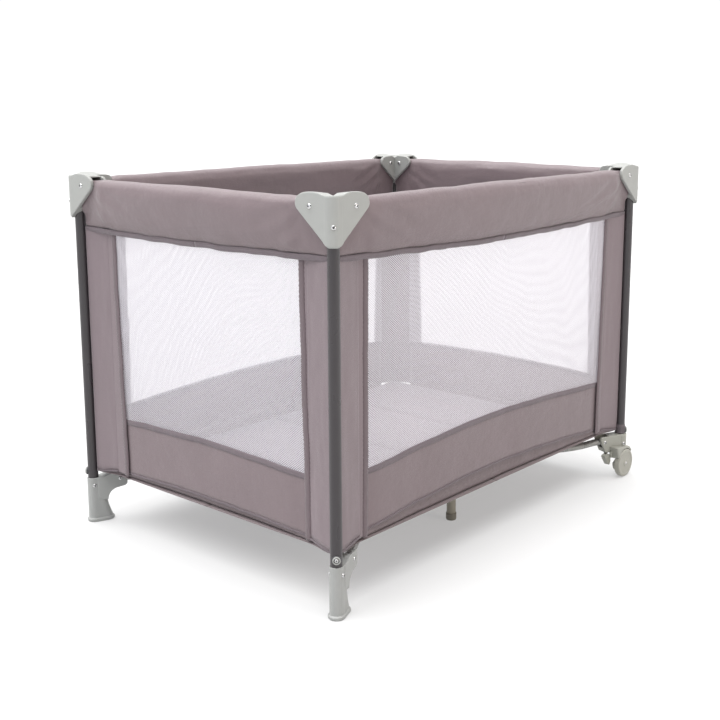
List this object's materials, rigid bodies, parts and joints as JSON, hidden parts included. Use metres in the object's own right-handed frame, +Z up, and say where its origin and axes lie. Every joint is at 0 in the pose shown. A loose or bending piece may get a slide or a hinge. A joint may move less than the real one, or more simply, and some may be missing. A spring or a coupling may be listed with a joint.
{
  "type": "folding playpen",
  "caption": "Folding playpen with fabric and netting sides, padded top rails, corner posts, plain feet at one end and braked wheels at the other.",
  "frame": {"origin": "on the floor at the centre of the pen", "axes": "+X along the long side to the wheels, +Y along the short side to the rear, +Z up"},
  "size_m": [1.059, 0.766, 0.7567],
  "materials": {
    "post": "satin",
    "tube": "satin",
    "cap": "satin",
    "foot": "satin",
    "wheel": "satin",
    "leg": "satin",
    "latch": "matte",
    "button": "matte",
    "axle": "brushed",
    "sleeve": "satin weave",
    "wall": "woven cloth and netting",
    "floor": "woven",
    "mattress": "quilted woven",
    "strap": "webbing"
  },
  "bodies": {
    "post_front_left": {"post_front_left": "post", "cap_front_left": "cap", "boot_front_left": "foot", "sleeve_front": "sleeve", "wall_front": "wall", "sleeve_left": "sleeve", "wall_left": "wall"},
    "arm_front_left": {"arm_front_left": "tube"},
    "post_front_right": {"post_front_right": "post", "cap_front_right": "cap", "bracket_front_right": "foot", "sleeve_right": "sleeve", "wall_right": "wall"},
    "arm_front_right": {"arm_front_right": "tube"},
    "post_rear_right": {"post_rear_right": "post", "cap_rear_right": "cap", "bracket_rear_right": "foot"},
    "arm_rear_right": {"arm_rear_right": "tube"},
    "post_rear_left": {"post_rear_left": "post", "cap_rear_left": "cap", "boot_rear_left": "foot", "sleeve_rear": "sleeve", "wall_rear": "wall"},
    "arm_rear_left": {"arm_rear_left": "tube"},
    "hub": {"hub": "latch", "floor_fabric": "floor"},
    "leg_front": {"leg_front": "leg", "leg_foot_front": "leg"},
    "leg_rear": {"leg_rear": "leg", "leg_foot_rear": "leg"},
    "rail_front_a": {"rail_front_a": "tube"},
    "rail_front_b": {"rail_front_b": "tube"},
    "latch_front": {"latch_front": "latch"},
    "button_front": {"button_front": "button"},
    "rail_right_a": {"rail_right_a": "tube"},
    "rail_right_b": {"rail_right_b": "tube"},
    "latch_right": {"latch_right": "latch"},
    "button_right": {"button_right": "button"},
    "rail_rear_a": {"rail_rear_a": "tube"},
    "rail_rear_b": {"rail_rear_b": "tube"},
    "latch_rear": {"latch_rear": "latch"},
    "button_rear": {"button_rear": "button"},
    "rail_left_a": {"rail_left_a": "tube"},
    "rail_left_b": {"rail_left_b": "tube"},
    "latch_left": {"latch_left": "latch"},
    "button_left": {"button_left": "button"},
    "wheel_front_right": {"wheel_front_right": "wheel", "axle_front_right": "axle"},
    "brake_front_right": {"brake_front_right": "foot"},
    "wheel_rear_right": {"wheel_rear_right": "wheel", "axle_rear_right": "axle"},
    "brake_rear_right": {"brake_rear_right": "foot"},
    "mattress_strap": {"mattress_strap": "strap"},
    "mattress_panel_1": {"mattress_panel_1": "mattress"},
    "mattress_panel_2": {"mattress_panel_2": "mattress"},
    "mattress_panel_3": {"mattress_panel_3": "mattress"},
    "mattress_panel_4": {"mattress_panel_4": "mattress"}
  },
  "joints": [
    {"name": "fold", "type": "hinge", "parent": "post_front_left", "child": "arm_front_left", "pos_m": [-0.454, -0.3404, 0.091], "axis": [0.5551, -0.8318, 0], "range_deg": [0, 87], "deforming": ["sleeve_front", "wall_front", "sleeve_left", "wall_left", "sleeve_right", "wall_right", "sleeve_rear", "wall_rear", "floor_fabric", "mattress_strap", "mattress_panel_1", "mattress_panel_2", "mattress_panel_3", "mattress_panel_4"]},
    {"name": "hub_level", "type": "hinge", "parent": "arm_front_left", "child": "hub", "pos_m": [-0.021, -0.0514, 0.091], "axis": [0.5551, -0.8318, 0], "range_deg": [-87, 0]},
    {"name": "arm_front_right_turn", "type": "hinge", "parent": "hub", "child": "arm_front_right", "pos_m": [0.021, -0.0514, 0.091], "axis": [0.5551, 0.8318, 0], "range_deg": [0, 87]},
    {"name": "post_front_right_level", "type": "hinge", "parent": "arm_front_right", "child": "post_front_right", "pos_m": [0.454, -0.3404, 0.091], "axis": [0.5551, 0.8318, 0], "range_deg": [-87, 0]},
    {"name": "arm_rear_left_turn", "type": "hinge", "parent": "hub", "child": "arm_rear_left", "pos_m": [-0.021, 0.0514, 0.091], "axis": [-0.5551, -0.8318, 0], "range_deg": [0, 87]},
    {"name": "post_rear_left_level", "type": "hinge", "parent": "arm_rear_left", "child": "post_rear_left", "pos_m": [-0.454, 0.3404, 0.091], "axis": [-0.5551, -0.8318, 0], "range_deg": [-87, 0]},
    {"name": "arm_rear_right_turn", "type": "hinge", "parent": "hub", "child": "arm_rear_right", "pos_m": [0.021, 0.0514, 0.091], "axis": [-0.5551, 0.8318, 0], "range_deg": [0, 87]},
    {"name": "post_rear_right_level", "type": "hinge", "parent": "arm_rear_right", "child": "post_rear_right", "pos_m": [0.454, 0.3404, 0.091], "axis": [-0.5551, 0.8318, 0], "range_deg": [-87, 0]},
    {"name": "leg_front_turn", "type": "hinge", "parent": "hub", "child": "leg_front", "pos_m": [0, -0.08, 0.084], "axis": [1, 0, 0], "range_deg": [0, 87]},
    {"name": "leg_rear_turn", "type": "hinge", "parent": "hub", "child": "leg_rear", "pos_m": [0, 0.08, 0.084], "axis": [-1, 0, 0], "range_deg": [0, 87]},
    {"name": "rail_front_a_turn", "type": "hinge", "parent": "post_front_left", "child": "rail_front_a", "pos_m": [-0.469, -0.361, 0.732], "axis": [0, 1, 0], "range_deg": [0, 87]},
    {"name": "latch_front_level", "type": "hinge", "parent": "rail_front_a", "child": "latch_front", "pos_m": [-0.036, -0.361, 0.732], "axis": [0, 1, 0], "range_deg": [-87, 0]},
    {"name": "rail_front_b_turn", "type": "hinge", "parent": "post_front_right", "child": "rail_front_b", "pos_m": [0.469, -0.361, 0.732], "axis": [0, -1, 0], "range_deg": [0, 87]},
    {"name": "button_front_push", "type": "slide", "parent": "latch_front", "child": "button_front", "axis": [0, 0, 1], "range_m": [0, 0.005], "stiffness_N_per_m": 500},
    {"name": "rail_right_a_turn", "type": "hinge", "parent": "post_front_right", "child": "rail_right_a", "pos_m": [0.505, -0.325, 0.732], "axis": [-1, 0, 0], "range_deg": [0, 87]},
    {"name": "latch_right_level", "type": "hinge", "parent": "rail_right_a", "child": "latch_right", "pos_m": [0.505, -0.036, 0.732], "axis": [-1, 0, 0], "range_deg": [-87, 0]},
    {"name": "rail_right_b_turn", "type": "hinge", "parent": "post_rear_right", "child": "rail_right_b", "pos_m": [0.505, 0.325, 0.732], "axis": [1, 0, 0], "range_deg": [0, 87]},
    {"name": "button_right_push", "type": "slide", "parent": "latch_right", "child": "button_right", "axis": [0, 0, 1], "range_m": [0, 0.005], "stiffness_N_per_m": 500},
    {"name": "rail_rear_a_turn", "type": "hinge", "parent": "post_rear_right", "child": "rail_rear_a", "pos_m": [0.469, 0.361, 0.732], "axis": [0, -1, 0], "range_deg": [0, 87]},
    {"name": "rail_rear_b_turn", "type": "hinge", "parent": "post_rear_left", "child": "rail_rear_b", "pos_m": [-0.469, 0.361, 0.732], "axis": [0, 1, 0], "range_deg": [0, 87]},
    {"name": "latch_rear_level", "type": "hinge", "parent": "rail_rear_b", "child": "latch_rear", "pos_m": [-0.036, 0.361, 0.732], "axis": [0, 1, 0], "range_deg": [-87, 0]},
    {"name": "button_rear_push", "type": "slide", "parent": "latch_rear", "child": "button_rear", "axis": [0, 0, 1], "range_m": [0, 0.005], "stiffness_N_per_m": 500},
    {"name": "rail_left_a_turn", "type": "hinge", "parent": "post_rear_left", "child": "rail_left_a", "pos_m": [-0.505, 0.325, 0.732], "axis": [1, 0, 0], "range_deg": [0, 87]},
    {"name": "rail_left_b_turn", "type": "hinge", "parent": "post_front_left", "child": "rail_left_b", "pos_m": [-0.505, -0.325, 0.732], "axis": [-1, 0, 0], "range_deg": [0, 87]},
    {"name": "latch_left_level", "type": "hinge", "parent": "rail_left_b", "child": "latch_left", "pos_m": [-0.505, -0.036, 0.732], "axis": [-1, 0, 0], "range_deg": [-87, 0]},
    {"name": "button_left_push", "type": "slide", "parent": "latch_left", "child": "button_left", "axis": [0, 0, 1], "range_m": [0, 0.005], "stiffness_N_per_m": 500},
    {"name": "wheel_front_right_spin", "type": "hinge", "parent": "post_front_right", "child": "wheel_front_right", "pos_m": [0.5, -0.376, 0.034], "axis": [0, 1, 0], "continuous": true},
    {"name": "brake_front_right_press", "type": "hinge", "parent": "post_front_right", "child": "brake_front_right", "pos_m": [0.462, -0.355, 0.058], "axis": [0, -1, 0], "range_deg": [0, 7]},
    {"name": "wheel_rear_right_spin", "type": "hinge", "parent": "post_rear_right", "child": "wheel_rear_right", "pos_m": [0.5, 0.376, 0.034], "axis": [0, 1, 0], "continuous": true},
    {"name": "brake_rear_right_press", "type": "hinge", "parent": "post_rear_right", "child": "brake_rear_right", "pos_m": [0.462, 0.355, 0.058], "axis": [0, -1, 0], "range_deg": [0, 7]},
    {"name": "mattress_shift", "type": "slide", "parent": "post_front_left", "child": "mattress_strap", "axis": [-1, 0, 0], "range_m": [0, 0.055]},
    {"name": "mattress_stand", "type": "hinge", "parent": "mattress_strap", "child": "mattress_panel_1", "pos_m": [-0.356, -0.3388, 0.0612], "axis": [1, 0, 0], "range_deg": [0, 90]},
    {"name": "mattress_crease_1", "type": "hinge", "parent": "mattress_panel_1", "child": "mattress_panel_2", "pos_m": [-0.2375, 0, 0.1094], "axis": [0, 1, 0], "range_deg": [0, 90]},
    {"name": "mattress_crease_2", "type": "hinge", "parent": "mattress_panel_2", "child": "mattress_panel_3", "pos_m": [0, 0, 0.1094], "axis": [0, 1, 0], "range_deg": [0, 90]},
    {"name": "mattress_crease_3", "type": "hinge", "parent": "mattress_panel_3", "child": "mattress_panel_4", "pos_m": [0.2375, 0, 0.1094], "axis": [0, 1, 0], "range_deg": [0, 90]}
  ],
  "couplings": [
    {"joint": "hub_level", "follows": "fold", "ratio": -1},
    {"joint": "arm_front_right_turn", "follows": "fold", "ratio": 1},
    {"joint": "post_front_right_level", "follows": "fold", "ratio": -1},
    {"joint": "arm_rear_left_turn", "follows": "fold", "ratio": 1},
    {"joint": "post_rear_left_level", "follows": "fold", "ratio": -1},
    {"joint": "arm_rear_right_turn", "follows": "fold", "ratio": 1},
    {"joint": "post_rear_right_level", "follows": "fold", "ratio": -1},
    {"joint": "leg_front_turn", "follows": "fold", "ratio": 1},
    {"joint": "leg_rear_turn", "follows": "fold", "ratio": 1},
    {"joint": "rail_front_a_turn", "follows": "fold", "ratio": 1},
    {"joint": "latch_front_level", "follows": "fold", "ratio": -1},
    {"joint": "rail_front_b_turn", "follows": "fold", "ratio": 1},
    {"joint": "rail_right_a_turn", "follows": "fold", "ratio": 1},
    {"joint": "latch_right_level", "follows": "fold", "ratio": -1},
    {"joint": "rail_right_b_turn", "follows": "fold", "ratio": 1},
    {"joint": "rail_rear_a_turn", "follows": "fold", "ratio": 1},
    {"joint": "rail_rear_b_turn", "follows": "fold", "ratio": 1},
    {"joint": "latch_rear_level", "follows": "fold", "ratio": -1},
    {"joint": "rail_left_a_turn", "follows": "fold", "ratio": 1},
    {"joint": "rail_left_b_turn", "follows": "fold", "ratio": 1},
    {"joint": "latch_left_level", "follows": "fold", "ratio": -1},
    {"joint": "mattress_shift", "follows": "fold", "m_per_rad": 0.036221},
    {"joint": "mattress_stand", "follows": "fold", "ratio": 1.0345},
    {"joint": "mattress_crease_1", "follows": "fold", "ratio": 1.0345},
    {"joint": "mattress_crease_2", "follows": "fold", "ratio": 1.0345},
    {"joint": "mattress_crease_3", "follows": "fold", "ratio": 1.0345}
  ]
}
